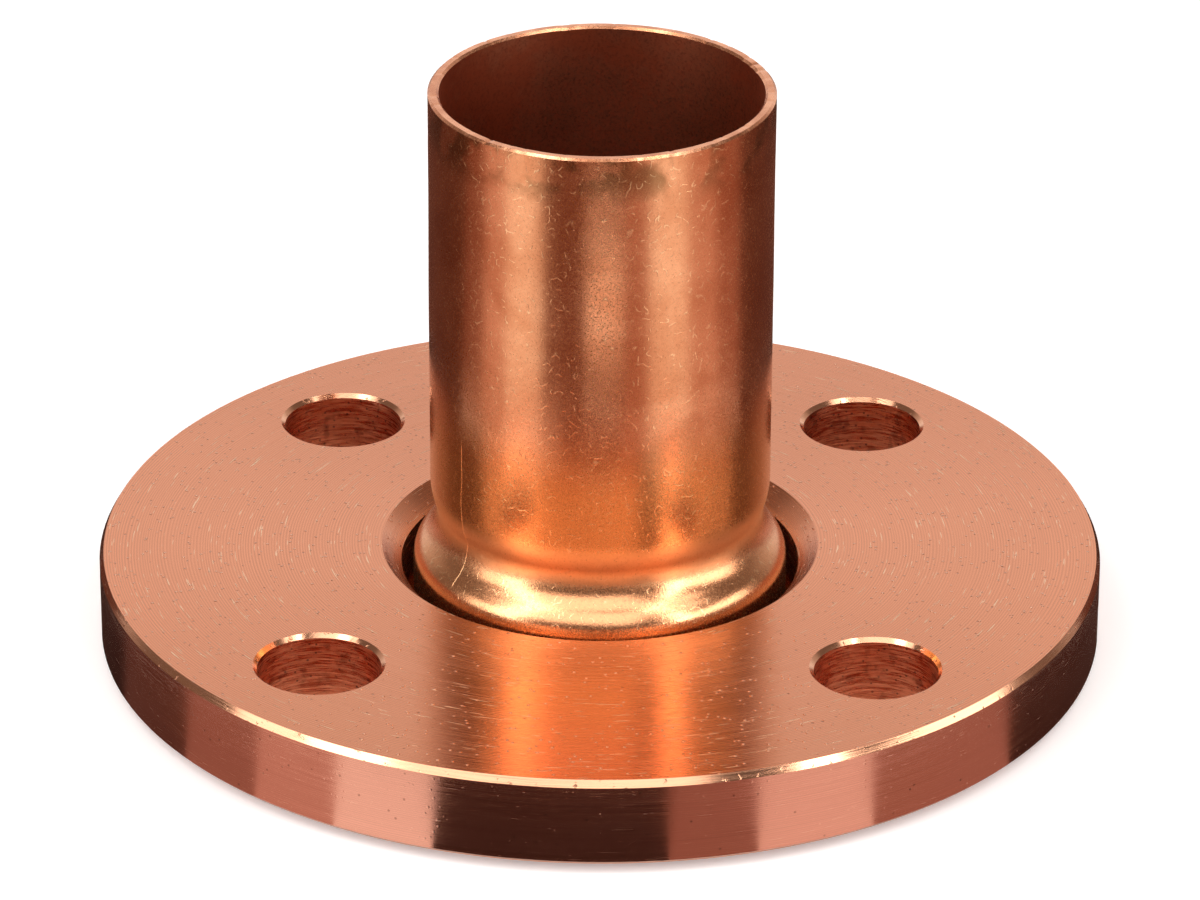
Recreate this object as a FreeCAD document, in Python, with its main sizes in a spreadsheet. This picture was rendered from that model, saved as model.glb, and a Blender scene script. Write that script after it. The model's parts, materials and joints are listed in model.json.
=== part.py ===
# Flange adapter for copper pipe, with a plain spigot for a press-fit socket.
#
# Two pieces: a tube stub that narrows to a waist and then flares to a neck, whose foot is passed
# through a ring flange and turned outwards into a flat lap collar, and the loose ring flange
# that lies on that collar.
# Millimetres, +Z up along the tube. The origin is the centre of the collar's gasket face.

import FreeCAD, Part
import math
import os

import Sketcher

# Driving sizes, each written once. Radii are measured from the axis of what they belong to.

SIZES = {
    # Tube: drawn copper tube, 50.8 outside, cut square and deburred at its top
    "tube_radius": 25.4,
    "tube_wall": 1.63,
    "stub_height": 88.5,
    "rim_break": 0.35,
    # Shoulder: the tube narrows to a waist, then flares to the wider neck. Both stretches are
    # upright at their ends and made of a full bend and a hollow one
    "waist_height": 21.0,
    "waist_depth": 1.0,
    "necking_height": 5.7,
    "necking_full_share": 0.74,
    "neck_swell": 2.6,
    "flare_height": 8.2,
    "flare_hollow_share": 0.54,
    # Lap collar: the foot of the neck turned outwards over a chamfered root, which keeps the wall
    # even above the chamfered mouth, then faced flat
    "collar_radius": 45.0,
    "root_chamfer": 1.65,
    "mouth_chamfer": 2.6,
    "collar_break": 0.4,
    # Ring flange: turned and bored, with its edges broken
    "flange_radius": 75.0,
    "flange_thickness": 13.5,
    "bore_clearance": 1.8,
    "bore_chamfer": 2.9,
    "top_break_width": 0.55,
    "top_break_depth": 1.05,
    "foot_break": 0.6,
    # Bolt holes: drilled through, with both ends deburred
    "bolt_circle_radius": 57.0,
    "bolt_hole_radius": 9.0,
    "bolt_hole_break": 0.6,
    "bolt_count": 4,
}

doc = FreeCAD.newDocument("flange_adapter")
sheet = doc.addObject("Spreadsheet::Sheet", "sizes")
for row, (alias, value) in enumerate(SIZES.items(), start=1):
    sheet.set("A%d" % row, alias)
    sheet.set("B%d" % row, str(value))
    sheet.setAlias("B%d" % row, alias)
doc.recompute()

# Lengths that several outlines share, as expressions on the sheet

TUBE_INSIDE = "(sizes.tube_radius - sizes.tube_wall)"
WAIST = "(sizes.tube_radius - sizes.waist_depth)"
NECK = "(sizes.tube_radius + sizes.neck_swell)"
NECK_INSIDE = "(%s - sizes.tube_wall)" % NECK
NECKING_TOP = "(sizes.waist_height + sizes.necking_height)"
FLARE_FOOT = "(sizes.waist_height - sizes.flare_height)"
BORE = "(%s + sizes.bore_clearance)" % NECK
BORE_MOUTH = "(%s + sizes.bore_chamfer)" % BORE

START_POINT, END_POINT = range(1, 3)


def origin_feature(body, role):
    """The plane or axis of a body's own origin that plays the given role."""
    return next(feature for feature in body.Origin.OriginFeatures if feature.Role == role)


class Outline:
    """A closed outline on a body's XZ plane: its x is the radius and its y the height.

    Each corner is placed by expressions on the sheet. Where a new corner keeps the radius or the
    height of the last one, that coordinate is left out and the edge is bound upright or level.
    """

    def __init__(self, body, name, radius, height):
        self.sketch = body.newObject("Sketcher::SketchObject", name)
        self.sketch.AttachmentSupport = [(origin_feature(body, "XZ_Plane"), "")]
        self.sketch.MapMode = "FlatFace"
        doc.recompute()
        self.start = (radius, height)
        self.corner = self.place(radius, height)
        self.ends = []

    def value(self, expression):
        return float(self.sketch.evalExpression(expression))

    def place(self, radius=None, height=None):
        """The point of a corner, which keeps what isn't given from the corner before it."""
        x = self.value(radius) if radius else self.corner.x
        y = self.value(height) if height else self.corner.y
        return FreeCAD.Vector(x, y, 0)

    def constrain(self, kind, *terms, by=None):
        """Binds the geometry, and drives the constraint by an expression where one is given."""
        index = self.sketch.addConstraint(Sketcher.Constraint(kind, *terms))
        if by:
            self.sketch.setExpression("Constraints[%d]" % index, by)

    def bind_corner(self, edge, end, radius, height):
        if radius:
            self.constrain("DistanceX", edge, end, self.value(radius), by=radius)
        if height:
            self.constrain("DistanceY", edge, end, self.value(height), by=height)

    def join(self, curve, corner):
        """Adds an edge that runs on to a corner, and ties it to the edge before it."""
        edge = self.sketch.addGeometry(curve, False)
        starts_here = (self.sketch.getPoint(edge, START_POINT) - self.corner).Length < 1e-6
        near, far = (START_POINT, END_POINT) if starts_here else (END_POINT, START_POINT)
        if self.ends:
            last_edge, _, last_far = self.ends[-1]
            self.constrain("Coincident", last_edge, last_far, edge, near)
        else:
            self.bind_corner(edge, near, *self.start)
        self.ends.append((edge, near, far))
        self.corner = corner
        return edge, far

    def line(self, radius=None, height=None):
        corner = self.place(radius, height)
        edge, far = self.join(Part.LineSegment(self.corner, corner), corner)
        if not radius:
            self.constrain("Vertical", edge)
        if not height:
            self.constrain("Horizontal", edge)
        self.bind_corner(edge, far, radius, height)

    def arc(self, radius, height, bend, centre_side):
        """A round edge of the given bend radius, with its centre on the left or right of the way."""
        corner = self.place(radius, height)
        chord = corner - self.corner
        to_left = FreeCAD.Vector(-chord.y, chord.x, 0).normalize()
        to_centre = to_left if centre_side == "left" else -to_left
        bend_radius = self.value(bend)
        centre_distance = math.sqrt(bend_radius ** 2 - (chord.Length / 2) ** 2)
        middle = self.corner + chord * 0.5 + to_centre * (centre_distance - bend_radius)
        edge, far = self.join(Part.Arc(self.corner, middle, corner), corner)
        self.bind_corner(edge, far, radius, height)
        self.constrain("Radius", edge, bend_radius, by=bend)

    def close(self):
        """A straight edge back to the first corner."""
        first_edge, first_near, _ = self.ends[0]
        first_corner = self.sketch.getPoint(first_edge, first_near)
        edge, far = self.join(Part.LineSegment(self.corner, first_corner), first_corner)
        self.constrain("Coincident", edge, far, first_edge, first_near)
        return edge


def turn(body, kind, name, outline, axis="V_Axis"):
    """A full turn of an outline: kind is Revolution to add it and Groove to cut it away."""
    feature = body.newObject("PartDesign::" + kind, name)
    feature.Profile = outline.sketch
    feature.ReferenceAxis = (outline.sketch, [axis])
    feature.Angle = 360
    outline.sketch.Visibility = False
    doc.recompute()
    return feature


def break_circles(body, name, base, circles, width):
    """Chamfers the circular edges that lie at the given radii and heights on the base feature."""
    names = []
    for number, edge in enumerate(base.Shape.Edges, start=1):
        if isinstance(edge.Curve, Part.Circle):
            here = (edge.Curve.Radius, edge.Curve.Center.z)
            if any(math.dist(here, circle) < 1e-4 for circle in circles):
                names.append("Edge%d" % number)
    feature = body.newObject("PartDesign::Chamfer", name)
    feature.Base = (base, names)
    feature.setExpression("Size", width)
    doc.recompute()
    return feature


def bend_pair(top, foot, share, hollow_first, offset):
    """The two round edges of a stretch that is upright at its top and its foot, from the top down.

    The first bend takes the given share of the stretch. As the bends touch each other, their radii
    add up to the same sum on both faces of the wall, and the offset draws the edges inside the
    skin (0 for the skin itself). Each edge is its start, its end, its radius and if it is hollow.
    """
    (top_radius, top_height), (foot_radius, foot_height) = top, foot
    step = "(%s - %s)" % (foot_radius, top_radius)
    height = "(%s - %s)" % (top_height, foot_height)
    radii = "((%s ^ 2 + %s ^ 2) / (2 * abs(%s)))" % (step, height, step)
    first_bend = "(%s * %s %s %s)" % (share, radii, "+" if hollow_first else "-", offset)
    last_bend = "(%s - %s)" % (radii, first_bend)
    reach = "(%s / %s)" % (first_bend, radii)
    start = ("(%s - %s)" % (top_radius, offset), top_height)
    meeting = (
        "(%s - %s + %s * %s)" % (top_radius, offset, reach, step),
        "(%s - %s * %s)" % (top_height, reach, height),
    )
    end = ("(%s - %s)" % (foot_radius, offset), foot_height)
    return [(start, meeting, first_bend, hollow_first), (meeting, end, last_bend, not hollow_first)]


def add_shoulder(outline, offset, downwards):
    """The shoulder: narrowed from the tube to the waist, then flared from the waist to the neck."""
    tube = ("sizes.tube_radius", NECKING_TOP)
    waist = (WAIST, "sizes.waist_height")
    neck = (NECK, FLARE_FOOT)
    edges = bend_pair(tube, waist, "sizes.necking_full_share", False, offset)
    edges += bend_pair(waist, neck, "sizes.flare_hollow_share", True, offset)
    if downwards:
        for _, end, bend, hollow in edges:
            outline.arc(*end, bend, "left" if hollow else "right")
    else:
        for start, _, bend, hollow in reversed(edges):
            outline.arc(*start, bend, "right" if hollow else "left")


def build_stub():
    """The formed tube: one wall all the way from the rim to the collar, turned about the axis."""
    body = doc.addObject("PartDesign::Body", "stub")
    wall = Outline(body, "wall_outline", "sizes.tube_radius", "sizes.stub_height")
    wall.line(height=NECKING_TOP)
    add_shoulder(wall, "0", downwards=True)
    wall.line(height="sizes.tube_wall + sizes.root_chamfer")
    wall.line("%s + sizes.root_chamfer" % NECK, "sizes.tube_wall")
    wall.line(radius="sizes.collar_radius")
    wall.line(height="0")
    wall.line(radius="%s + sizes.mouth_chamfer" % NECK_INSIDE)
    wall.line(NECK_INSIDE, "sizes.mouth_chamfer")
    wall.line(height=FLARE_FOOT)
    add_shoulder(wall, "sizes.tube_wall", downwards=False)
    wall.line(height="sizes.stub_height")
    wall.close()
    tube = turn(body, "Revolution", "formed_tube", wall)

    rim_circles = [
        (size("tube_radius"), size("stub_height")),
        (size("tube_radius") - size("tube_wall"), size("stub_height")),
    ]
    rim = break_circles(body, "deburred_rim", tube, rim_circles, "sizes.rim_break")
    collar_circles = [
        (size("collar_radius"), 0.0),
        (size("collar_radius"), size("tube_wall")),
    ]
    break_circles(body, "deburred_collar", rim, collar_circles, "sizes.collar_break")
    return body


def build_flange():
    """The ring: turned, bored and chamfered, then drilled on the bolt circle."""
    body = doc.addObject("PartDesign::Body", "flange")
    ring = Outline(body, "ring_outline", BORE, "sizes.bore_chamfer")
    ring.line(height="sizes.flange_thickness - sizes.bore_chamfer")
    ring.line(BORE_MOUTH, "sizes.flange_thickness")
    ring.line(radius="sizes.flange_radius - sizes.top_break_width")
    ring.line("sizes.flange_radius", "sizes.flange_thickness - sizes.top_break_depth")
    ring.line(height="sizes.foot_break")
    ring.line("sizes.flange_radius - sizes.foot_break", "0")
    ring.line(radius=BORE_MOUTH)
    ring.close()
    turn(body, "Revolution", "turned_ring", ring)

    wall = "(sizes.bolt_circle_radius + sizes.bolt_hole_radius)"
    mouth = "(%s + sizes.bolt_hole_break)" % wall
    hole = Outline(body, "hole_outline", "sizes.bolt_circle_radius", "0")
    hole.line(radius=mouth)
    hole.line(wall, "sizes.bolt_hole_break")
    hole.line(height="sizes.flange_thickness - sizes.bolt_hole_break")
    hole.line(mouth, "sizes.flange_thickness")
    hole.line(radius="sizes.bolt_circle_radius")
    axis_edge = hole.close()
    drilled = turn(body, "Groove", "drilled_hole", hole, "Edge%d" % (axis_edge + 1))

    pattern = body.newObject("PartDesign::PolarPattern", "bolt_holes")
    pattern.Originals = [drilled]
    pattern.Axis = (origin_feature(body, "Z_Axis"), [""])
    pattern.Angle = 360
    pattern.setExpression("Occurrences", "sizes.bolt_count")
    body.Tip = pattern
    doc.recompute()

    # The ring lies on the collar, and its holes straddle the centre lines
    body.setExpression(".Placement.Base.z", "sizes.tube_wall")
    body.setExpression(".Placement.Rotation.Angle", "180 deg / sizes.bolt_count")
    return body


def size(alias):
    """The value that the sheet holds under this alias."""
    return float(sheet.get(alias))


def write_pieces(pieces):
    """Writes each piece to a file of its own, once the whole document has proved sound."""
    doc.recompute()
    for item in doc.Objects:
        if "Invalid" in item.State or "Error" in item.State:
            raise RuntimeError("%s did not recompute: %s" % (item.Name, item.State))
    for name, body in pieces.items():
        if body.Shape.isNull() or not body.Shape.isValid():
            raise RuntimeError("%s has no valid shape" % name)
    os.makedirs("parts", exist_ok=True)
    for name, body in pieces.items():
        body.Label = name
        body.Shape.exportStep("parts/%s.step" % name)
        print("%s: volume %.1f" % (name, body.Shape.Volume))


write_pieces({"stub": build_stub(), "flange": build_flange()})
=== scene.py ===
import json
import math

import bmesh
import bpy
from mathutils import Matrix, Vector, noise


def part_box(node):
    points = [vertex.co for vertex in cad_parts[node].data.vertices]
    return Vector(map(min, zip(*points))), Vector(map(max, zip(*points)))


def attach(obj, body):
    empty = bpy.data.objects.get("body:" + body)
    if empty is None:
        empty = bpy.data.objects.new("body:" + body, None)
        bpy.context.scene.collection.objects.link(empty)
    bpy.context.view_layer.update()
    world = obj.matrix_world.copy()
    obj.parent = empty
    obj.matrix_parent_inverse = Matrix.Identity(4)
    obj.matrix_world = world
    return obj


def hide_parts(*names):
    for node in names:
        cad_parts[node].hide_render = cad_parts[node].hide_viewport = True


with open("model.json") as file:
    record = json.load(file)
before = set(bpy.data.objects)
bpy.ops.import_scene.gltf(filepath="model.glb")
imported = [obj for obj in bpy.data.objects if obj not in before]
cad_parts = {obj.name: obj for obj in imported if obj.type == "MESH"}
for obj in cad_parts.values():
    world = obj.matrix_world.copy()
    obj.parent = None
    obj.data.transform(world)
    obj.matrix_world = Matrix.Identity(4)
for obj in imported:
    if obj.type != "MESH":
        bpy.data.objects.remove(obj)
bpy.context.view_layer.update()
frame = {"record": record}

# Sizes in metres, from the frame where it has them

MM = 0.001
MOUNTS = {mount["name"]: mount for mount in frame["record"]["mounts"]}
TUBE_RADIUS = MOUNTS["spigot"]["dims"]["r_mm"] * MM
TUBE_INSIDE = MOUNTS["tube_bore"]["dims"]["r_mm"] * MM
BOLT_CIRCLE = MOUNTS["bolt_circle"]["dims"]["pcd_mm"] * MM / 2
HOLE_RADIUS = MOUNTS["bolt_circle"]["dims"]["hole_r_mm"] * MM
BOLT_COUNT = MOUNTS["bolt_circle"]["dims"]["count"]
WALL = TUBE_RADIUS - TUBE_INSIDE
STUB_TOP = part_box("stub")[1].z
FLANGE_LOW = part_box("flange")[0].z
FLANGE_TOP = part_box("flange")[1].z
FLANGE_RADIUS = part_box("flange")[1].x

WAIST_RADIUS = TUBE_RADIUS - 1.0 * MM
WAIST_HEIGHT = 21.0 * MM
NECKING_TOP = WAIST_HEIGHT + 5.7 * MM
NECKING_FULL_SHARE = 0.74
NECK_RADIUS = TUBE_RADIUS + 2.6 * MM
NECK_INSIDE = NECK_RADIUS - WALL
FLARE_FOOT = WAIST_HEIGHT - 8.2 * MM
FLARE_HOLLOW_SHARE = 0.54
BORE_RADIUS = NECK_RADIUS + 1.8 * MM
BORE_CHAMFER = 2.9 * MM
TOP_BREAK_WIDTH = 0.55 * MM
TOP_BREAK_DEPTH = 1.05 * MM
FOOT_BREAK = 0.6 * MM
HOLE_BREAK = 0.6 * MM
RIM_BREAK = 0.35 * MM
COLLAR_RADIUS = 45.0 * MM
ROOT_CHAMFER = 1.65 * MM
MOUTH_CHAMFER = 2.6 * MM
COLLAR_BREAK = 0.4 * MM
DRILL_PITCH = 1.15 * MM
DRILL_RIDGE = 0.075 * MM

# The shares of a turn over which the drill's ridge rises and falls
RIDGE_RISE = 0.7
RIDGE_FALL = 0.3

# How far the hand-worked and drawn surfaces wander
TUBE_WAVES = 0.07 * MM
TUBE_RIPPLE = 0.018 * MM
RIM_TRIM = 0.12 * MM
RIM_NICKS = 0.35 * MM
OUTER_BREAK_WANDER = 0.10 * MM
HOLE_BREAK_WANDER = 0.22 * MM

# How finely the round forms are divided
FLANGE_SEGMENTS = 512
STUB_SEGMENTS = 384
HOLE_SEGMENTS = 144
DRILL_ROWS = 48
NECKING_STEPS = 14
FLARE_STEPS = 22

# Edges that bend by more than this are sharp
CREASE = math.radians(25)
FLANGE_CREASE = math.radians(22)

# Places of the finishes in the lists of the flange and of the stub
FACE, TURNED_WALL, DRILLED, EDGE = range(4)
OUTSIDE, INSIDE, CUT_EDGE = range(3)


def round_z(angle):
    """The direction of an angle round Z, from +X towards +Y."""
    return Vector((math.cos(angle), math.sin(angle), 0))


HOLE_CENTRES = [BOLT_CIRCLE * round_z(math.tau * (k + 0.5) / BOLT_COUNT) for k in range(BOLT_COUNT)]


# Meshes

def arc(start, end, bend, centre_side, steps):
    """Points of a round stretch of outline, without its start."""
    x0, y0 = start
    x1, y1 = end
    dx, dy = x1 - x0, y1 - y0
    chord = math.hypot(dx, dy)
    side = 1 if centre_side == "left" else -1
    offset = math.sqrt(bend ** 2 - chord ** 2 / 4) * side / chord
    cx, cy = (x0 + x1) / 2 - dy * offset, (y0 + y1) / 2 + dx * offset
    first = math.atan2(y0 - cy, x0 - cx)
    turn = math.remainder(math.atan2(y1 - cy, x1 - cx) - first, math.tau)
    angles = [first + turn * k / steps for k in range(1, steps + 1)]
    return [(cx + bend * math.cos(a), cy + bend * math.sin(a)) for a in angles]


def divide(start, end, longest):
    """Points of a straight stretch, without its start, no further apart than the given length."""
    (x0, y0), (x1, y1) = start, end
    parts = max(1, math.ceil(math.hypot(x1 - x0, y1 - y0) / longest))
    return [(x0 + (x1 - x0) * k / parts, y0 + (y1 - y0) * k / parts) for k in range(1, parts + 1)]


def lathe(stretches, segments, move=None):
    """A solid turned about Z. Each stretch of its closed outline is (material index, points of
    radius and height), where the first point is the end of the stretch before. move(radius,
    height, angle) gives a point its unevenness."""
    outline = [point for _, points in stretches for point in points]
    slots = [slot for slot, points in stretches for _ in points]
    shape = bmesh.new()
    rings = []
    for k in range(segments):
        angle = math.tau * k / segments
        places = [move(r, z, angle) for r, z in outline] if move else outline
        rings.append([shape.verts.new((r * math.cos(angle), r * math.sin(angle), z)) for r, z in places])
    for here, there in zip(rings, rings[1:] + rings[:1]):
        for i, slot in enumerate(slots):
            face = shape.faces.new((here[i - 1], there[i - 1], there[i], here[i]))
            face.material_index = slot
    bmesh.ops.recalc_face_normals(shape, faces=shape.faces)
    return shape


def make_object(name, shape, materials):
    mesh = bpy.data.meshes.new(name)
    shape.to_mesh(mesh)
    shape.free()
    for material in materials:
        mesh.materials.append(material)
    mesh.shade_smooth()
    mesh.set_sharp_from_angle(angle=CREASE)
    made = bpy.data.objects.new(name, mesh)
    bpy.context.collection.objects.link(made)
    return made


def bend_pair(top, foot, share, hollow_first, offset, steps):
    """Points of a stretch that is upright at its top and its foot, without its top. Its two bends
    touch each other, the first takes the given share, and the offset draws them inside the skin."""
    (top_radius, top_height), (foot_radius, foot_height) = top, foot
    step, height = foot_radius - top_radius, top_height - foot_height
    radii = (step ** 2 + height ** 2) / (2 * abs(step))
    first_bend = share * radii + (offset if hollow_first else -offset)
    reach = first_bend / radii
    start = (top_radius - offset, top_height)
    meeting = (start[0] + reach * step, start[1] - reach * height)
    end = (foot_radius - offset, foot_height)
    sides = ("left", "right") if hollow_first else ("right", "left")
    upper = arc(start, meeting, first_bend, sides[0], steps)
    return upper + arc(meeting, end, radii - first_bend, sides[1], steps)


def shoulder(offset):
    """The tube narrowed to its waist and flared to its neck, from the top down."""
    tube = (TUBE_RADIUS, NECKING_TOP)
    waist = (WAIST_RADIUS, WAIST_HEIGHT)
    neck = (NECK_RADIUS, FLARE_FOOT)
    necking = bend_pair(tube, waist, NECKING_FULL_SHARE, False, offset, NECKING_STEPS)
    return necking + bend_pair(waist, neck, FLARE_HOLLOW_SHARE, True, offset, FLARE_STEPS)


def stub_stretches():
    """The stub's outline from its rim down the outside, round the collar and up the bore."""
    rim_outer = (TUBE_RADIUS, STUB_TOP - RIM_BREAK)
    rim_inner = (TUBE_INSIDE, STUB_TOP - RIM_BREAK)
    root = [(NECK_RADIUS, WALL + ROOT_CHAMFER), (NECK_RADIUS + ROOT_CHAMFER, WALL)]
    gasket_face = (COLLAR_RADIUS - COLLAR_BREAK, 0)
    mouth = (NECK_INSIDE + MOUTH_CHAMFER, 0)
    throat = (NECK_INSIDE, MOUTH_CHAMFER)
    bore_foot = (TUBE_INSIDE, NECKING_TOP)
    flat_rim_inner = (TUBE_INSIDE + RIM_BREAK, STUB_TOP)
    flat_rim_outer = (TUBE_RADIUS - RIM_BREAK, STUB_TOP)
    return [
        (CUT_EDGE, [flat_rim_inner, flat_rim_outer, rim_outer]),
        (OUTSIDE, divide(rim_outer, (TUBE_RADIUS, NECKING_TOP), longest=1.5 * MM)),
        (OUTSIDE, shoulder(offset=0)),
        (OUTSIDE, root),
        (OUTSIDE, [(COLLAR_RADIUS - COLLAR_BREAK, WALL), (COLLAR_RADIUS, WALL - COLLAR_BREAK)]),
        (CUT_EDGE, [(COLLAR_RADIUS, COLLAR_BREAK), gasket_face, mouth, throat]),
        (INSIDE, list(reversed([bore_foot] + shoulder(offset=WALL)))),
        (INSIDE, divide(bore_foot, rim_inner, longest=3 * MM)),
    ]


def stub_unevenness(radius, height, angle):
    """A drawn tube's slight waves, and a hand-trimmed rim."""
    around = round_z(angle)
    above_collar = min(1, max(0, (height - FLARE_FOOT) / (WAIST_HEIGHT - FLARE_FOOT)))
    waves = noise.noise(around * 1.6 + Vector((0, 0, height * 45))) * TUBE_WAVES
    ripple = noise.noise(around * 6 + Vector((5, 0, height * 160))) * TUBE_RIPPLE
    near_rim = max(0, 1 - (STUB_TOP - height) / (1.2 * MM))
    trimmed = (0.5 + 0.5 * noise.noise(around * 3)) * RIM_TRIM
    nicks = max(0, noise.noise(around * 23 + Vector((9, 0, 0))) - 0.25) * RIM_NICKS
    return radius + (waves + ripple) * above_collar, height - near_rim * (trimmed + nicks)


def flange_stretches():
    """The ring's outline up its bore, outwards over the top and back underneath. Its faces get their
    finishes later, from flange_zone."""
    mouth = BORE_RADIUS + BORE_CHAMFER
    bore_low = (BORE_RADIUS, FLANGE_LOW + BORE_CHAMFER)
    bore_high = (BORE_RADIUS, FLANGE_TOP - BORE_CHAMFER)
    bore = [bore_low] + divide(bore_low, bore_high, longest=1 * MM)
    return [(FACE, bore + [
        (mouth, FLANGE_TOP),
        (FLANGE_RADIUS - TOP_BREAK_WIDTH, FLANGE_TOP),
        (FLANGE_RADIUS, FLANGE_TOP - TOP_BREAK_DEPTH),
        (FLANGE_RADIUS, FLANGE_LOW + FOOT_BREAK),
        (FLANGE_RADIUS - FOOT_BREAK, FLANGE_LOW),
        (mouth, FLANGE_LOW),
    ])]


def flange_unevenness(radius, height, angle):
    """The outer top edge was broken by hand and varies in width, inwards only."""
    if height == FLANGE_TOP and radius > BOLT_CIRCLE:
        return radius - (0.5 + 0.5 * noise.noise(round_z(angle) * 5)) * OUTER_BREAK_WANDER, height
    return radius, height


def hole_cutter(centre, seed):
    """A bolt hole as the drill left it, with a spiral ridge and uneven broken edges."""
    over = 1.0 * MM
    bore_foot = FLANGE_LOW + HOLE_BREAK
    bore_length = FLANGE_TOP - FLANGE_LOW - 2 * HOLE_BREAK
    heights = [FLANGE_LOW - over, bore_foot]
    heights += [bore_foot + bore_length * k / DRILL_ROWS for k in range(1, DRILL_ROWS)]
    heights += [FLANGE_TOP - HOLE_BREAK, FLANGE_TOP + over]
    shape = bmesh.new()
    rows = []
    for row, height in enumerate(heights):
        ring = []
        for k in range(HOLE_SEGMENTS):
            around = round_z(math.tau * k / HOLE_SEGMENTS)
            if row in (0, len(heights) - 1):
                wander = noise.noise(around * 1.7 + Vector((0, 0, seed + row))) * HOLE_BREAK_WANDER
                radius = HOLE_RADIUS + HOLE_BREAK + over + wander
            else:
                turn = (height / DRILL_PITCH + k / HOLE_SEGMENTS) % 1
                worn = 0.5 + 0.5 * noise.noise(around * 1.2 + Vector((0, 0, seed + height * 300)))
                ridge = DRILL_RIDGE * worn * min(turn / RIDGE_RISE, (1 - turn) / RIDGE_FALL)
                radius = HOLE_RADIUS + ridge
            ring.append(shape.verts.new(centre + radius * around + Vector((0, 0, height))))
        rows.append(ring)
    for low, high in zip(rows, rows[1:]):
        for k in range(HOLE_SEGMENTS):
            j = (k + 1) % HOLE_SEGMENTS
            shape.faces.new((low[k], low[j], high[j], high[k]))
    shape.faces.new(list(reversed(rows[0])))
    shape.faces.new(rows[-1])
    bmesh.ops.recalc_face_normals(shape, faces=shape.faces)
    return shape


def cut(target, cutter):
    """Takes the cutter out of the target and removes it."""
    modifier = target.modifiers.new("hole", "BOOLEAN")
    modifier.operation = "DIFFERENCE"
    modifier.solver = "EXACT"
    modifier.object = cutter
    bpy.context.view_layer.objects.active = target
    bpy.ops.object.modifier_apply(modifier=modifier.name)
    bpy.data.objects.remove(cutter)


# Materials

# How far a step up moves along a turned outline, where a step outwards moves by 1
RISE_ALONG_PROFILE = 1.7


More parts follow.
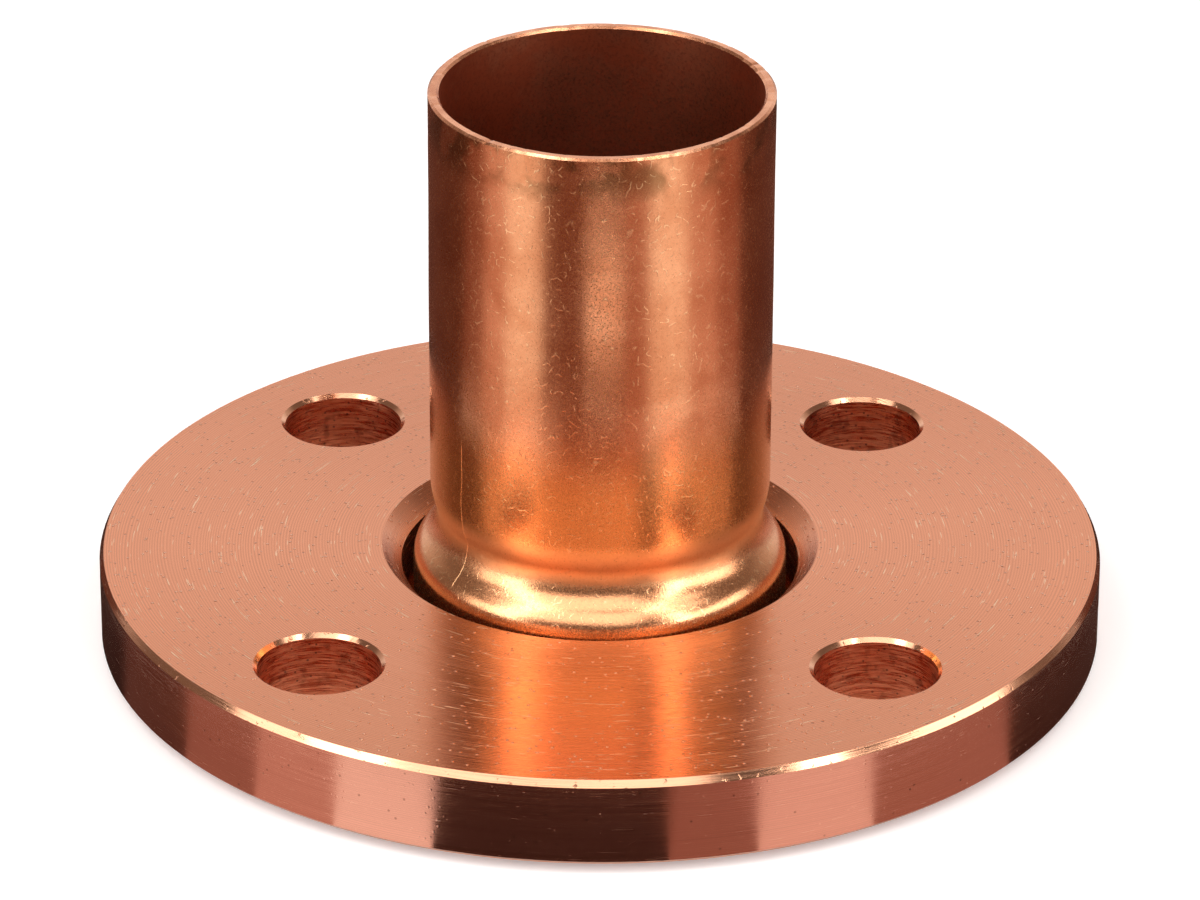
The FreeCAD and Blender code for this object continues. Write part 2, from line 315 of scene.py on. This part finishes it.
class Finish:
    """A metal's node tree, with short calls for the nodes that the finishes share. Lengths in the
    coordinates are millimetres."""

    def __init__(self, name, roughness, anisotropic):
        self.material = bpy.data.materials.new(name)
        self.material.use_nodes = True
        self.tree = self.material.node_tree
        self.shader = self.tree.nodes["Principled BSDF"]
        self.shader.inputs["Metallic"].default_value = 1.0
        self.shader.inputs["Roughness"].default_value = roughness
        if anisotropic:
            self.shader.inputs["Anisotropic"].default_value = anisotropic
            self.shader.inputs["Anisotropic Rotation"].default_value = 0.25
            tangent = self.tree.nodes.new("ShaderNodeTangent")
            tangent.direction_type = "RADIAL"
            tangent.axis = "Z"
            self.tree.links.new(tangent.outputs[0], self.shader.inputs["Tangent"])
        place = self.tree.nodes.new("ShaderNodeTexCoord").outputs["Object"]
        self.place = self.vector("SCALE", place, scale=1 / MM)
        x, y, self.height = self.split(self.place)
        squared = self.math("ADD", self.math("MULTIPLY", x, x), self.math("MULTIPLY", y, y))
        self.radius = self.math("SQRT", squared)
        self.around = (self.math("DIVIDE", x, self.radius), self.math("DIVIDE", y, self.radius))

    def put(self, socket, value):
        if isinstance(value, bpy.types.NodeSocket):
            self.tree.links.new(value, socket)
        else:
            socket.default_value = value

    def math(self, operation, a, b=0.0, c=0.0):
        node = self.tree.nodes.new("ShaderNodeMath")
        node.operation = operation
        for socket, value in zip(node.inputs, (a, b, c)):
            self.put(socket, value)
        return node.outputs[0]

    def vector(self, operation, a, b=None, scale=None):
        node = self.tree.nodes.new("ShaderNodeVectorMath")
        node.operation = operation
        self.put(node.inputs[0], a)
        if b is not None:
            self.put(node.inputs[1], b)
        if scale is not None:
            self.put(node.inputs["Scale"], scale)
        return node.outputs[0]

    def split(self, vector):
        node = self.tree.nodes.new("ShaderNodeSeparateXYZ")
        self.put(node.inputs[0], vector)
        return node.outputs

    def join(self, x, y, z):
        node = self.tree.nodes.new("ShaderNodeCombineXYZ")
        for socket, value in zip(node.inputs, (x, y, z)):
            self.put(socket, value)
        return node.outputs[0]

    def profile(self):
        """A place along a turned outline, on its walls as well as on its faces."""
        return self.math("MULTIPLY_ADD", self.height, RISE_ALONG_PROFILE, self.radius)

    def turned(self, along, across, seed=0.0):
        """A place in a lathe's terms, without a seam: features are 1/along mm long round the axis
        and 1/across mm wide along the profile."""
        profile = self.profile()
        return self.join(
            self.math("MULTIPLY", self.math("MULTIPLY", self.around[0], self.radius), along),
            self.math("MULTIPLY", self.math("MULTIPLY", self.around[1], self.radius), along),
            self.math("MULTIPLY_ADD", profile, across, seed),
        )

    def noise(self, vector, scale=1.0, detail=2.0, roughness=0.5, distortion=0.0):
        node = self.tree.nodes.new("ShaderNodeTexNoise")
        self.put(node.inputs["Vector"], vector)
        node.inputs["Scale"].default_value = scale
        node.inputs["Detail"].default_value = detail
        node.inputs["Roughness"].default_value = roughness
        node.inputs["Distortion"].default_value = distortion
        return node.outputs["Fac"]

    def spots(self, vector, scale, size):
        """1 in scattered dots, 0 between them."""
        node = self.tree.nodes.new("ShaderNodeTexVoronoi")
        self.put(node.inputs["Vector"], vector)
        node.inputs["Scale"].default_value = scale
        return self.span(node.outputs["Distance"], size, size * 0.4)

    def hairs(self, scale, cover, width):
        """1 on thin curved scratches of random length, 0 between them."""
        curve = self.math("ABSOLUTE", self.math("SUBTRACT", self.noise(self.place, scale, detail=0), 0.5))
        line = self.span(curve, width, 0.0)
        patches = self.span(self.noise(self.place, scale * 1.3), cover, cover + 0.1)
        return self.math("MULTIPLY", line, patches)

    def span(self, value, low, high, out_low=0.0, out_high=1.0):
        """The value carried smoothly from one range to another, and held at its ends."""
        node = self.tree.nodes.new("ShaderNodeMapRange")
        node.interpolation_type = "SMOOTHSTEP"
        ranges = {"From Min": low, "From Max": high, "To Min": out_low, "To Max": out_high}
        for name, number in ranges.items():
            node.inputs[name].default_value = number
        self.put(node.inputs["Value"], value)
        return node.outputs[0]

    def mix(self, factor, a, b, blend="MIX"):
        node = self.tree.nodes.new("ShaderNodeMix")
        node.data_type = "RGBA"
        node.blend_type = blend
        self.put(node.inputs["Factor"], factor)
        self.put(node.inputs[6], self.colour(a))
        self.put(node.inputs[7], self.colour(b))
        return node.outputs[2]

    def over(self, colour, where, strength, paint):
        """The paint laid over a colour at the given strength, as far as the mask has it."""
        return self.mix(self.math("MULTIPLY", where, strength), colour, paint)

    def colour(self, value):
        return (*value, 1.0) if isinstance(value, tuple) else value

    def grey(self, value):
        node = self.tree.nodes.new("ShaderNodeCombineColor")
        for socket in node.inputs:
            self.put(socket, value)
        return node.outputs[0]

    def bump(self, height, depth, normal=None):
        """A relief of the given depth in millimetres."""
        node = self.tree.nodes.new("ShaderNodeBump")
        node.inputs["Distance"].default_value = depth * MM
        self.put(node.inputs["Height"], height)
        if normal is not None:
            self.put(node.inputs["Normal"], normal)
        return node.outputs[0]

    def finish(self, colour, roughness, normal):
        self.put(self.shader.inputs["Base Color"], self.colour(colour))
        self.put(self.shader.inputs["Roughness"], roughness)
        self.put(self.shader.inputs["Normal"], normal)
        return self.material


COPPER = (0.74, 0.285, 0.15)


def turned_copper(name, pitch, groove_depth, groove_shade_contrast, anisotropic, roughness, wear_and_glints, tint=COPPER):
    """Bare copper as a lathe leaves it: feed lines, finer tool lines, short scratches and pits. The feed
    and tool lines also darken the colour as painted shade of the grooves, and the scratches and flecks
    lighten it as painted glints. The wear_and_glints is how deep the scratches, flecks and pits go and
    how strong those painted glints are, from 0 to 1."""
    made = Finish(name, roughness, anisotropic)
    profile = made.profile()
    wander = made.noise(made.turned(0.02, 0.3), detail=1)
    wave = made.math("SINE", made.math("MULTIPLY", made.math("ADD", profile, wander), math.tau / pitch))
    strength = made.noise(made.turned(0.01, 0.45, 7.0), detail=3)
    feed = made.math("MULTIPLY", wave, made.span(strength, 0.3, 0.7, 0.5, 1.0))
    lines = made.noise(made.turned(0.035, 5.5), detail=4, roughness=0.7)
    scratches = made.span(made.noise(made.turned(0.22, 3.4, 31.0), detail=1), 0.68, 0.74)
    flecks = made.spots(made.place, 0.85, 0.23)
    flecks = made.math("MULTIPLY", flecks, made.span(made.noise(made.place, 0.4, detail=1), 0.46, 0.52))
    pits = made.spots(made.place, 0.42, 0.11)
    patches = made.noise(made.place, 0.045, detail=3)

    # Painted shade: the feed and tool lines darken the colour as the grooves' shading; the patches are the
    # metal's own uneven tone
    shade = made.math("MULTIPLY_ADD", feed, groove_shade_contrast, 0.935)
    shade = made.math("MULTIPLY_ADD", lines, 0.30, shade)
    shade = made.math("MULTIPLY_ADD", patches, 0.08, made.math("SUBTRACT", shade, 0.16))
    colour = made.mix(1.0, tint, made.grey(shade), "MULTIPLY")
    colour = made.over(colour, pits, 0.55, (0.22, 0.09, 0.05))
    # Painted glints: the scratches and flecks are lightened in the colour, over their real relief
    colour = made.over(colour, scratches, wear_and_glints, (1.0, 0.66, 0.42))
    colour = made.over(colour, flecks, wear_and_glints, (1.0, 0.56, 0.36))

    rough = made.span(lines, 0.3, 0.7, roughness - 0.06, roughness + 0.07)
    rough = made.math("MULTIPLY_ADD", made.math("MAXIMUM", flecks, scratches), 0.2 * wear_and_glints, rough)

    normal = made.bump(feed, groove_depth)
    normal = made.bump(lines, 0.006, normal)
    normal = made.bump(scratches, 0.03 * wear_and_glints, normal)
    normal = made.bump(flecks, 0.12 * wear_and_glints, normal)
    normal = made.bump(pits, -0.03 * wear_and_glints, normal)
    return made.finish(colour, rough, normal)


def broken_edge():
    """The smooth narrow faces where the sharp edges were broken."""
    made = Finish("broken_edge", 0.16, 0.0)
    lines = made.noise(made.turned(0.08, 4.0), detail=3)
    nicks = made.span(made.noise(made.place, 0.9, detail=3), 0.64, 0.72)
    colour = made.over((0.82, 0.40, 0.235), nicks, 0.5, (0.45, 0.19, 0.10))
    normal = made.bump(lines, 0.01)
    normal = made.bump(nicks, -0.05, normal)
    return made.finish(colour, made.span(lines, 0.3, 0.7, 0.12, 0.2), normal)


def drilled_copper():
    """The bore of a bolt hole: torn metal between the drill's ridges, with dark oil in it."""
    made = Finish("drilled_copper", 0.32, 0.0)
    smear = made.noise(made.vector("MULTIPLY", made.place, (0.25, 0.25, 3.2)), detail=4, roughness=0.65)
    blotches = made.span(made.noise(made.place, 0.5, detail=3), 0.54, 0.70)
    specks = made.spots(made.place, 0.8, 0.2)
    colour = made.mix(made.span(smear, 0.35, 0.65), (0.62, 0.18, 0.085), (0.96, 0.42, 0.23))
    colour = made.over(colour, blotches, 0.5, (0.24, 0.06, 0.03))
    colour = made.over(colour, specks, 0.7, (0.06, 0.025, 0.02))
    normal = made.bump(smear, 0.07)
    return made.finish(colour, made.span(smear, 0.3, 0.7, 0.20, 0.38), normal)


# A single long scratch down the shoulder: where it is, from -Y towards +X, and its sizes in mm
SCRATCH_AZIMUTH = math.radians(-52.8)
SCRATCH_TOP = 40
SCRATCH_FOOT = 15
SCRATCH_HALF_WIDTH = 0.11
SCRATCH_SWAY = 1.4


def long_scratch(made):
    """1 on the single long scratch, 0 beside it and on the tube's far side."""
    wobble = made.noise(made.vector("MULTIPLY", made.place, (0.0, 0.0, 0.12)), detail=1)
    sideways = made.math("MULTIPLY", made.around[1], math.sin(SCRATCH_AZIMUTH))
    sideways = made.math("MULTIPLY_ADD", made.around[0], math.cos(SCRATCH_AZIMUTH), sideways)
    sideways = made.math("MULTIPLY_ADD", sideways, made.radius, made.math("MULTIPLY", wobble, SCRATCH_SWAY))
    beside = made.math("ABSOLUTE", made.math("SUBTRACT", sideways, SCRATCH_SWAY / 2))
    scratch = made.span(beside, SCRATCH_HALF_WIDTH, 0.03)
    scratch = made.math("MULTIPLY", scratch, made.span(made.height, SCRATCH_TOP, SCRATCH_TOP - 3))
    scratch = made.math("MULTIPLY", scratch, made.span(made.height, SCRATCH_FOOT, SCRATCH_FOOT + 1))
    return made.math("MULTIPLY", scratch, made.span(made.around[1], 0.0, -0.1))


# Heights in mm on the finished tube
WAIST_MM = WAIST_HEIGHT / MM
RIM_MM = STUB_TOP / MM
# Below this height the tube's colour is painted yellower, as a reflection of the ring's face
PAINTED_RING_REFLECTION_BELOW = 46
# Below this height the flare's foot is painted lighter, as a reflection band
PAINTED_FOOT_REFLECTION_BELOW = 14.8

# Bright bare copper: the real colour of the long scratch, and the colour of the painted reflection bands
BARE_METAL_AND_REFLECTION = (1.0, 0.66, 0.34)


def tarnished_copper():
    """The tube's outside: an old mottled skin with grain, hair lines and one long scratch, brighter where
    the shoulder was worked and stained near the rim. Towards its foot the colour is painted yellower as a
    reflection of the ring's face, and a band round the waist and the flare's foot are painted lighter as
    reflections."""
    made = Finish("tarnished_copper", 0.26, 0.0)
    clouds = made.noise(made.place, 0.09, detail=4, roughness=0.55, distortion=0.4)
    mottle = made.noise(made.place, 0.8, detail=4, roughness=0.6)
    grain = made.noise(made.place, 3.0, detail=4, roughness=0.75)
    drawn = made.noise(made.vector("MULTIPLY", made.place, (3.0, 3.0, 0.06)), detail=3, roughness=0.6)
    specks = made.spots(made.place, 0.9, 0.15)
    worked = made.span(made.height, WAIST_MM + 1.5, WAIST_MM - 2.5)
    # Painted reflections: a band round the waist and the flare's foot are painted in bare-metal colour,
    # where they mirror bright surroundings
    from_waist = made.math("ABSOLUTE", made.math("SUBTRACT", made.height, WAIST_MM + 1.8))
    painted_foot_reflection = made.span(made.height, PAINTED_FOOT_REFLECTION_BELOW, PAINTED_FOOT_REFLECTION_BELOW - 0.8)
    painted_reflection_bands = made.math("MAXIMUM", made.span(from_waist, 4.5, 0.6), painted_foot_reflection)
    peel = made.noise(made.place, 2.6, detail=3, roughness=0.6)
    near_rim = made.span(made.height, RIM_MM - 9, RIM_MM - 3)
    stain = made.math("MULTIPLY", near_rim, made.span(made.noise(made.place, 0.16, detail=3), 0.46, 0.60))
    hairs = made.hairs(0.7, 0.5, 0.035)
    scratch = long_scratch(made)
    # Painted reflection: yellower towards the foot, where the tube mirrors the ring's face
    painted_ring_reflection = made.span(made.height, PAINTED_RING_REFLECTION_BELOW, PAINTED_RING_REFLECTION_BELOW - 14)

    colour = made.mix(made.span(clouds, 0.35, 0.65), (0.62, 0.23, 0.10), (0.76, 0.33, 0.16))
    colour = made.over(colour, made.span(mottle, 0.42, 0.70), 0.08, (0.46, 0.18, 0.075))
    colour = made.over(colour, painted_ring_reflection, 0.8, (0.74, 0.41, 0.15))
    colour = made.over(colour, worked, 0.6, (0.86, 0.34, 0.18))
    # Painted reflection bands in bare-metal colour
    colour = made.over(colour, painted_reflection_bands, 0.8, BARE_METAL_AND_REFLECTION)
    colour = made.over(colour, stain, 0.75, (0.22, 0.10, 0.035))
    colour = made.over(colour, made.span(grain, 0.50, 0.70), 0.28, (0.38, 0.12, 0.045))
    colour = made.over(colour, specks, 0.3, (0.12, 0.04, 0.02))
    colour = made.over(colour, hairs, 0.5, (0.98, 0.66, 0.36))
    colour = made.over(colour, scratch, 0.8, BARE_METAL_AND_REFLECTION)

    rough = made.span(grain, 0.35, 0.7, 0.20, 0.30)
    rough = made.math("MULTIPLY_ADD", made.span(from_waist, 4.5, 0.6), 0.16, rough)
    made.shader.inputs["Coat Weight"].default_value = 0.12
    made.shader.inputs["Coat Roughness"].default_value = 0.22

    normal = made.bump(clouds, 0.008)
    normal = made.bump(drawn, 0.003, normal)
    normal = made.bump(grain, 0.005, normal)
    normal = made.bump(hairs, 0.012, normal)
    normal = made.bump(scratch, -0.03, normal)
    normal = made.bump(made.math("MULTIPLY", peel, worked), 0.02, normal)
    return made.finish(colour, rough, normal)


def tube_lining():
    """The tube's inside: dull dark oxide with lighter worn places."""
    made = Finish("tube_lining", 0.42, 0.0)
    clouds = made.noise(made.place, 0.09, detail=4, roughness=0.6)
    grain = made.noise(made.place, 2.2, detail=4, roughness=0.7)
    colour = made.mix(made.span(clouds, 0.35, 0.7), (0.42, 0.095, 0.04), (0.68, 0.24, 0.12))
    colour = made.over(colour, made.span(grain, 0.45, 0.7), 0.5, (0.18, 0.04, 0.02))
    normal = made.bump(grain, 0.012)
    return made.finish(colour, made.span(clouds, 0.3, 0.7, 0.48, 0.34), normal)


def cut_copper():
    """Sawn and filed edges: bright, with fine cross lines."""
    made = Finish("cut_copper", 0.3, 0.0)
    lines = made.noise(made.turned(2.5, 4.0), detail=3, roughness=0.7)
    patches = made.noise(made.place, 0.3, detail=3)
    colour = made.mix(made.span(patches, 0.35, 0.7), (0.88, 0.40, 0.22), (0.66, 0.25, 0.12))
    normal = made.bump(lines, 0.012)
    return made.finish(colour, made.span(lines, 0.3, 0.7, 0.20, 0.34), normal)


FLANGE_FINISHES = [
    turned_copper("turned_face", pitch=0.42, groove_depth=0.005, groove_shade_contrast=0.13, anisotropic=0.82,
                  roughness=0.23, wear_and_glints=0.7),
    turned_copper("turned_wall", pitch=0.55, groove_depth=0.0015, groove_shade_contrast=0.05, anisotropic=0.2,
                  roughness=0.20, wear_and_glints=0.12, tint=(0.78, 0.365, 0.25)),
    drilled_copper(),
    broken_edge(),
]


# The flange and the stub

def flange_zone(face):
    """Which finish a face of the flange has."""
    slack = 0.15 * MM
    flat = Vector((face.center.x, face.center.y, 0))
    from_hole = min((flat - centre).length for centre in HOLE_CENTRES)
    levelness = abs(face.normal.z)
    upright = levelness < 0.1
    level = levelness > 0.95
    if levelness < 0.5 and from_hole < HOLE_RADIUS + slack:
        return DRILLED
    if upright and flat.length > FLANGE_RADIUS - slack:
        return TURNED_WALL
    if level or flat.length < BORE_RADIUS + BORE_CHAMFER:
        return FACE
    return EDGE


def build_flange():
    shape = lathe(flange_stretches(), FLANGE_SEGMENTS, flange_unevenness)
    flange = make_object("ring_flange", shape, FLANGE_FINISHES)
    for seed, centre in enumerate(HOLE_CENTRES):
        cut(flange, make_object("cutter", hole_cutter(centre, seed), [FLANGE_FINISHES[DRILLED]]))
    for face in flange.data.polygons:
        face.material_index = flange_zone(face)
    flange.data.shade_smooth()
    flange.data.set_sharp_from_angle(angle=FLANGE_CREASE)
    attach(flange, "root")
    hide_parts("flange")


def build_stub():
    shape = lathe(stub_stretches(), STUB_SEGMENTS, stub_unevenness)
    stub = make_object("tube_stub", shape, [tarnished_copper(), tube_lining(), cut_copper()])
    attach(stub, "root")
    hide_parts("stub")


build_flange()
build_stub()


# Camera, at the photograph's angle

PHOTO_WIDTH = 1200
SENSOR_WIDTH = 36.0
# The focal length, in pixels of the photograph's width
FOCAL_PIXELS = 6730.4
CAMERA_DISTANCE = 1003.83 * MM
CAMERA_ELEVATION = math.radians(26.211)
CAMERA_AZIMUTH = math.radians(0.403)
CAMERA_ROLL = math.radians(0.262)
LOOK_AT = Vector((-0.052 * MM, 0, FLANGE_TOP + 14.949 * MM))

camera_data = bpy.data.cameras.new("camera")
camera_data.sensor_width = SENSOR_WIDTH
camera_data.lens = FOCAL_PIXELS / PHOTO_WIDTH * SENSOR_WIDTH
camera_data.clip_start = 0.01
camera_data.clip_end = 50
camera = bpy.data.objects.new("camera", camera_data)
bpy.context.collection.objects.link(camera)
back = Vector((0, -math.cos(CAMERA_ELEVATION), math.sin(CAMERA_ELEVATION)))
around = Matrix.Rotation(CAMERA_AZIMUTH, 4, "Z")
camera.matrix_world = (
    around
    @ Matrix.Translation(LOOK_AT + back * CAMERA_DISTANCE)
    @ Matrix.Rotation(math.pi / 2 - CAMERA_ELEVATION, 4, "X")
    @ Matrix.Rotation(CAMERA_ROLL, 4, "Z")
)
bpy.context.scene.camera = camera


# Studio

# Watts for a square metre of lamp at a brightness of 1
LAMP_WATTS = 4.0
LAMP_DISTANCE = 1.5


def direction(azimuth, elevation):
    """A direction in degrees: azimuth from the camera's side towards the right, elevation above
    the floor."""
    a, e = math.radians(azimuth), math.radians(elevation)
    return Vector((math.sin(a) * math.cos(e), -math.cos(a) * math.cos(e), math.sin(e)))


def softbox(name, azimuths, elevations, brightness):
    """A soft lamp that fills the given part of the sky, as seen from the object."""
    lamp = bpy.data.lights.new(name, "AREA")
    lamp.shape = "RECTANGLE"
    middle = (sum(azimuths) / 2, sum(elevations) / 2)
    spread = math.radians(azimuths[1] - azimuths[0]) * math.cos(math.radians(middle[1]))
    lamp.size = 2 * LAMP_DISTANCE * math.tan(spread / 2)
    lamp.size_y = 2 * LAMP_DISTANCE * math.tan(math.radians(elevations[1] - elevations[0]) / 2)
    lamp.energy = brightness * lamp.size * lamp.size_y * LAMP_WATTS
    placed = bpy.data.objects.new(name, lamp)
    bpy.context.collection.objects.link(placed)
    towards = direction(*middle)
    placed.location = LOOK_AT + towards * LAMP_DISTANCE
    placed.rotation_euler = towards.to_track_quat("Z", "Y").to_euler()
    placed.visible_camera = False


softbox("key_panel", (-60, 34), (24, 66), 1.6)
softbox("left_strip", (-66, -48), (-4, 35), 3.8)
softbox("left_strip_top", (-66, -48), (35, 74), 3.8)
softbox("left_fill", (-84, -68), (-4, 23), 1.8)
softbox("left_fill_top", (-82, -68), (36, 74), 1.6)
softbox("right_strip", (46, 54), (-4, 35), 7.0)
softbox("right_strip_top", (46, 54), (35, 74), 7.0)
softbox("right_fill", (55, 97), (-4, 20), 2.5)
softbox("right_fill_top", (56, 80), (36, 74), 1.8)


# Cards on the floor

# The brightness from which a card is white, and how much more blue than green a warm one loses
WHITE_FROM = 1.2
BLUE_LOSS = 1.2

# The most degrees between two edges of a card, and its height where it isn't given
CARD_STEP = 4
CARD_LIFT = 0.2 * MM

# The near cards start beside the ring's wall, and the far ones where the near ones end
NEAR_GAP = 1 * MM
NEAR_LENGTH = 37 * MM
NEAR_WARMTH = 0.52
FAR_WARMTH = 0.62
FAR_START = FLANGE_RADIUS + NEAR_LENGTH
FAR_END = 600 * MM
BRIGHT_CARD_RADII = (155 * MM, 175 * MM)


def card_colour(brightness, warmth):
    """A bright card is white and a dim one is warm, as its surroundings are copper."""
    tint = warmth * max(0.0, 1 - (brightness / WHITE_FROM) ** 2)
    return (1.0, 1 - tint, 1 - BLUE_LOSS * tint, 1.0)


def emission(name, brightness, warmth):
    """A material that glows evenly."""
    material = bpy.data.materials.new(name)
    material.use_nodes = True
    tree = material.node_tree
    tree.nodes.remove(tree.nodes["Principled BSDF"])
    emitter = tree.nodes.new("ShaderNodeEmission")
    emitter.inputs["Strength"].default_value = brightness
    emitter.inputs["Color"].default_value = card_colour(brightness, warmth)
    tree.links.new(emitter.outputs[0], tree.nodes["Material Output"].inputs["Surface"])
    return material


def floor_card(name, azimuths, start, lengths, brightness, warmth, lift=CARD_LIFT):
    """A card lying round the object, seen only in its reflections. Its sides leave a circle of the
    start's radius as a reflection from a wall there does, straight outwards where that is 0."""
    low, high = azimuths
    steps = max(2, math.ceil((high - low) / CARD_STEP))
    points, faces = [], []
    for k in range(steps + 1):
        azimuth = low + (high - low) * k / steps
        foot = direction(azimuth, 0) * start
        outwards = direction(2 * azimuth if start else azimuth, 0)
        points += [foot + outwards * lengths[0], foot + outwards * lengths[1]]
    for k in range(steps):
        faces.append((2 * k, 2 * k + 1, 2 * k + 3, 2 * k + 2))
    mesh = bpy.data.meshes.new(name)
    mesh.from_pydata([(p.x, p.y, lift) for p in points], [], faces)
    mesh.materials.append(emission(name, brightness, warmth))
    card = bpy.data.objects.new(name, mesh)
    bpy.context.collection.objects.link(card)
    card.visible_camera = False
    card.visible_diffuse = False
    card.visible_shadow = False


# Cards in order of azimuth: where each starts and ends, and its brightness
NEAR_CARDS = [
    (-85, -69, 0.03),
    (-69, -53, 0.11),
    (-53, -41, 0.35),
    (-41, -30, 0.65),
    (-30, -18, 1.10),
    (-18, 8, 0.05),
    (8, 18, 0.35),
    (18, 32, 0.95),
    (32, 53, 0.40),
    (53, 85, 0.05),
]
FAR_CARDS = [
    (-180, -96, 0.12),
    (-96, -78, 0.28),
    (-78, -60, 0.80),
    (-60, -36, 1.35),
    (-36, 14, 0.22),
    (14, 30, 0.55),
    (30, 56, 1.35),
    (56, 78, 0.75),
    (78, 98, 0.42),
    (98, 180, 0.13),
]
near_lengths = (NEAR_GAP, NEAR_LENGTH)
for number, (low, high, brightness) in enumerate(NEAR_CARDS):
    floor_card(f"near_card_{number}", (low, high), FLANGE_RADIUS, near_lengths, brightness, NEAR_WARMTH)
far_radii = (FAR_START, FAR_END)
for number, (low, high, brightness) in enumerate(FAR_CARDS):
    floor_card(f"far_card_{number}", (low, high), 0, far_radii, brightness, FAR_WARMTH)
back_radii = (FLANGE_RADIUS + NEAR_GAP, FAR_START)
floor_card("back_card", (96, 264), 0, back_radii, 0.06, NEAR_WARMTH, lift=0.1 * MM)
floor_card("bright_card", (-9, 13), 0, BRIGHT_CARD_RADII, 4.0, 0.5, lift=0.4 * MM)


# Floor

FLOOR_HALF = 4.0
FLOOR_HEIGHT = -0.05 * MM
# How much the floor glows to the camera alone, which makes it near white there
FLOOR_GLOW = 0.26


def floor_material():
    material = bpy.data.materials.new("floor")
    material.use_nodes = True
    tree = material.node_tree
    shader = tree.nodes["Principled BSDF"]
    shader.inputs["Base Color"].default_value = (0.9, 0.9, 0.9, 1)
    shader.inputs["Roughness"].default_value = 0.9
    shader.inputs["Specular IOR Level"].default_value = 0.0
    shader.inputs["Emission Color"].default_value = (1, 1, 1, 1)
    seen_by_camera = tree.nodes.new("ShaderNodeLightPath").outputs["Is Camera Ray"]
    glow = tree.nodes.new("ShaderNodeMath")
    glow.operation = "MULTIPLY"
    glow.inputs[1].default_value = FLOOR_GLOW
    tree.links.new(seen_by_camera, glow.inputs[0])
    tree.links.new(glow.outputs[0], shader.inputs["Emission Strength"])
    return material


def build_floor():
    sides = [(-1, -1), (1, -1), (1, 1), (-1, 1)]
    corners = [(x * FLOOR_HALF, y * FLOOR_HALF, FLOOR_HEIGHT) for x, y in sides]
    mesh = bpy.data.meshes.new("floor")
    mesh.from_pydata(corners, [], [(0, 1, 2, 3)])
    mesh.materials.append(floor_material())
    floor = bpy.data.objects.new("floor", mesh)
    bpy.context.collection.objects.link(floor)


build_floor()


# World

# From the camera's side to the far side: where each stop lies, from 0 to 1, and how bright it is
SKY_STOPS = [(0.0, 0.10), (0.22, 0.12), (0.45, 0.18), (0.70, 0.20), (0.82, 0.54), (0.93, 1.0)]
# How much green and blue a dark sky keeps
DARK_GREEN = 0.75
DARK_BLUE = 0.62


def sky_colour(level):
    green = level * (DARK_GREEN + (1 - DARK_GREEN) * level)
    blue = level * (DARK_BLUE + (1 - DARK_BLUE) * level)
    return (level, green, blue, 1)


def build_world():
    """White to the camera, and in reflections white behind the object, grey at the sides and dark
    behind the camera."""
    world = bpy.data.worlds.new("studio")
    bpy.context.scene.world = world
    world.use_nodes = True
    tree = world.node_tree
    background = tree.nodes["Background"]
    toward = tree.nodes.new("ShaderNodeSeparateXYZ")
    tree.links.new(tree.nodes.new("ShaderNodeTexCoord").outputs["Generated"], toward.inputs[0])
    sky = tree.nodes.new("ShaderNodeValToRGB")
    sky.color_ramp.interpolation = "EASE"
    stops = sky.color_ramp.elements
    for place, level in SKY_STOPS:
        stops.new(place).color = sky_colour(level)
    # The ramp's own two stops
    stops.remove(stops[-1])
    stops.remove(stops[0])
    across = tree.nodes.new("ShaderNodeMapRange")
    across.inputs["From Min"].default_value = -1.0
    tree.links.new(toward.outputs["Y"], across.inputs["Value"])
    tree.links.new(across.outputs[0], sky.inputs["Fac"])
    seen = tree.nodes.new("ShaderNodeLightPath")
    pick = tree.nodes.new("ShaderNodeMix")
    pick.data_type = "RGBA"
    tree.links.new(seen.outputs["Is Camera Ray"], pick.inputs["Factor"])
    tree.links.new(sky.outputs["Color"], pick.inputs[6])
    pick.inputs[7].default_value = (1, 1, 1, 1)
    tree.links.new(pick.outputs[2], background.inputs["Color"])


build_world()
bpy.context.scene.view_settings.view_transform = "Standard"
